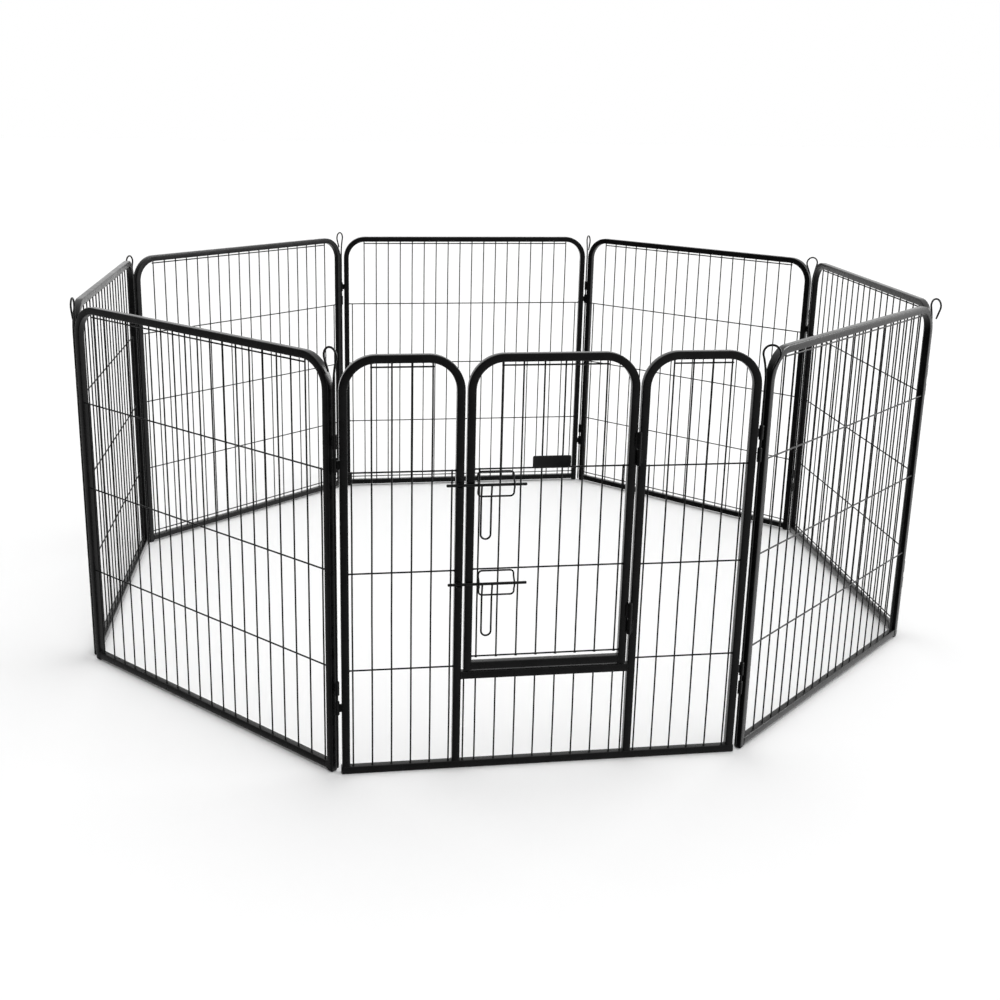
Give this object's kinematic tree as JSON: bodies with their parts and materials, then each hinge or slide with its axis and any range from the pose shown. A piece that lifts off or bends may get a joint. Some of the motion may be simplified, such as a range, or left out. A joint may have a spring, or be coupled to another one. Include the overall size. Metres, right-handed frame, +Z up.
{
  "type": "pet playpen",
  "caption": "Folding pet playpen: arched square-tube panels with wire grids, joined in a ring by lift-out corner pins, with a bolted swing door in the front panel.",
  "frame": {"origin": "centre of the ring of panels, at ground level", "axes": "+Z up; -Y towards the front panel, which holds the door; +X to the right as seen from the front"},
  "size_m": [1.953, 1.9305, 0.82],
  "materials": {
    "tube_coat": "black semi-gloss powder coat on steel tube",
    "wire_coat": "black semi-gloss powder coat on steel wire",
    "rod_coat": "black semi-gloss coat on pins, bolts and catches",
    "plug_plastic": "black moulded plastic",
    "plate_plastic": "black satin plastic"
  },
  "bodies": {
    "front_panel": {"front_rail": "tube_coat", "front_arch_left": "tube_coat", "front_arch_right": "tube_coat", "front_wires_left": "wire_coat", "front_wires_right": "wire_coat", "door_sill": "tube_coat", "rail_plug_left": "plug_plastic", "rail_plug_right": "plug_plastic", "door_hinge_pin_lower": "rod_coat", "door_hinge_pin_upper": "rod_coat", "bolt_keeper_lower": "rod_coat", "bolt_keeper_upper": "rod_coat"},
    "door": {"door_frame": "tube_coat", "door_wires": "wire_coat", "door_plug_left": "plug_plastic", "door_plug_right": "plug_plastic", "blank_plate": "plate_plastic", "bolt_guide_lower": "rod_coat", "bolt_guide_upper": "rod_coat"},
    "latch_bolt_upper": {"latch_bolt_upper": "rod_coat"},
    "latch_bolt_lower": {"latch_bolt_lower": "rod_coat"},
    "left_panel_1": {"left_panel_1_frame": "tube_coat", "left_panel_1_wires": "wire_coat", "left_panel_1_foot_start": "plug_plastic", "left_panel_1_foot_end": "plug_plastic"},
    "left_panel_2": {"left_panel_2_frame": "tube_coat", "left_panel_2_wires": "wire_coat", "left_panel_2_foot_start": "plug_plastic", "left_panel_2_foot_end": "plug_plastic"},
    "left_panel_3": {"left_panel_3_frame": "tube_coat", "left_panel_3_wires": "wire_coat", "left_panel_3_foot_start": "plug_plastic", "left_panel_3_foot_end": "plug_plastic"},
    "left_panel_4": {"left_panel_4_frame": "tube_coat", "left_panel_4_wires": "wire_coat", "left_panel_4_foot_start": "plug_plastic", "left_panel_4_foot_end": "plug_plastic"},
    "right_panel_1": {"right_panel_1_frame": "tube_coat", "right_panel_1_wires": "wire_coat", "right_panel_1_foot_start": "plug_plastic", "right_panel_1_foot_end": "plug_plastic"},
    "right_panel_2": {"right_panel_2_frame": "tube_coat", "right_panel_2_wires": "wire_coat", "right_panel_2_foot_start": "plug_plastic", "right_panel_2_foot_end": "plug_plastic"},
    "right_panel_3": {"right_panel_3_frame": "tube_coat", "right_panel_3_wires": "wire_coat", "right_panel_3_foot_start": "plug_plastic", "right_panel_3_foot_end": "plug_plastic"},
    "pin_front_left": {"pin_front_left": "rod_coat"},
    "pin_front_right": {"pin_front_right": "rod_coat"},
    "pin_right_1": {"pin_right_1": "rod_coat"},
    "pin_right_2": {"pin_right_2": "rod_coat"},
    "pin_back": {"pin_back": "rod_coat"},
    "pin_left_1": {"pin_left_1": "rod_coat"},
    "pin_left_2": {"pin_left_2": "rod_coat"},
    "pin_left_3": {"pin_left_3": "rod_coat"}
  },
  "joints": [
    {"name": "corner_front_left", "type": "hinge", "parent": "front_panel", "child": "left_panel_1", "pos_m": [-0.45769, -0.95044, 0], "axis": [0, 0, 1], "range_deg": [-40, 44]},
    {"name": "corner_front_right", "type": "hinge", "parent": "front_panel", "child": "right_panel_1", "pos_m": [0.32831, -0.95044, 0], "axis": [0, 0, 1], "range_deg": [-40, 44]},
    {"name": "corner_right_1", "type": "hinge", "parent": "right_panel_1", "child": "right_panel_2", "pos_m": [0.9188, -0.43168, 0], "axis": [0, 0, 1], "range_deg": [-44, 40]},
    {"name": "corner_right_2", "type": "hinge", "parent": "right_panel_2", "child": "right_panel_3", "pos_m": [0.96816, 0.35277, 0], "axis": [0, 0, 1], "range_deg": [-40, 44]},
    {"name": "corner_left_1", "type": "hinge", "parent": "left_panel_1", "child": "left_panel_2", "pos_m": [-0.96816, -0.35277, 0], "axis": [0, 0, 1], "range_deg": [-44, 40]},
    {"name": "corner_left_2", "type": "hinge", "parent": "left_panel_2", "child": "left_panel_3", "pos_m": [-0.9188, 0.43168, 0], "axis": [0, 0, 1], "range_deg": [-40, 44]},
    {"name": "corner_left_3", "type": "hinge", "parent": "left_panel_3", "child": "left_panel_4", "pos_m": [-0.32831, 0.95044, 0], "axis": [0, 0, 1], "range_deg": [-44, 40]},
    {"name": "door_swing", "type": "hinge", "parent": "front_panel", "child": "door", "pos_m": [0.09406, -0.96244, 0], "axis": [0, 0, 1], "range_deg": [0, 120]},
    {"name": "bolt_upper_slide", "type": "slide", "parent": "door", "child": "latch_bolt_upper", "axis": [1, 0, 0], "range_m": [0, 0.034]},
    {"name": "bolt_lower_slide", "type": "slide", "parent": "door", "child": "latch_bolt_lower", "axis": [1, 0, 0], "range_m": [0, 0.034]},
    {"name": "pin_front_left_lift", "type": "slide", "parent": "front_panel", "child": "pin_front_left", "axis": [0, 0, 1], "range_m": [0, 0.8]},
    {"name": "pin_front_right_lift", "type": "slide", "parent": "front_panel", "child": "pin_front_right", "axis": [0, 0, 1], "range_m": [0, 0.8]},
    {"name": "pin_right_1_lift", "type": "slide", "parent": "right_panel_1", "child": "pin_right_1", "axis": [0, 0, 1], "range_m": [0, 0.8]},
    {"name": "pin_right_2_lift", "type": "slide", "parent": "right_panel_2", "child": "pin_right_2", "axis": [0, 0, 1], "range_m": [0, 0.8]},
    {"name": "pin_back_lift", "type": "slide", "parent": "right_panel_3", "child": "pin_back", "axis": [0, 0, 1], "range_m": [0, 0.8]},
    {"name": "pin_left_1_lift", "type": "slide", "parent": "left_panel_1", "child": "pin_left_1", "axis": [0, 0, 1], "range_m": [0, 0.8]},
    {"name": "pin_left_2_lift", "type": "slide", "parent": "left_panel_2", "child": "pin_left_2", "axis": [0, 0, 1], "range_m": [0, 0.8]},
    {"name": "pin_left_3_lift", "type": "slide", "parent": "left_panel_3", "child": "pin_left_3", "axis": [0, 0, 1], "range_m": [0, 0.8]}
  ],
  "couplings": [
    {"joint": "corner_front_right", "follows": "corner_front_left", "ratio": 1},
    {"joint": "corner_right_1", "follows": "corner_front_left", "ratio": -1},
    {"joint": "corner_right_2", "follows": "corner_front_left", "ratio": 1},
    {"joint": "corner_left_1", "follows": "corner_front_left", "ratio": -1},
    {"joint": "corner_left_2", "follows": "corner_front_left", "ratio": 1},
    {"joint": "corner_left_3", "follows": "corner_front_left", "ratio": -1}
  ]
}
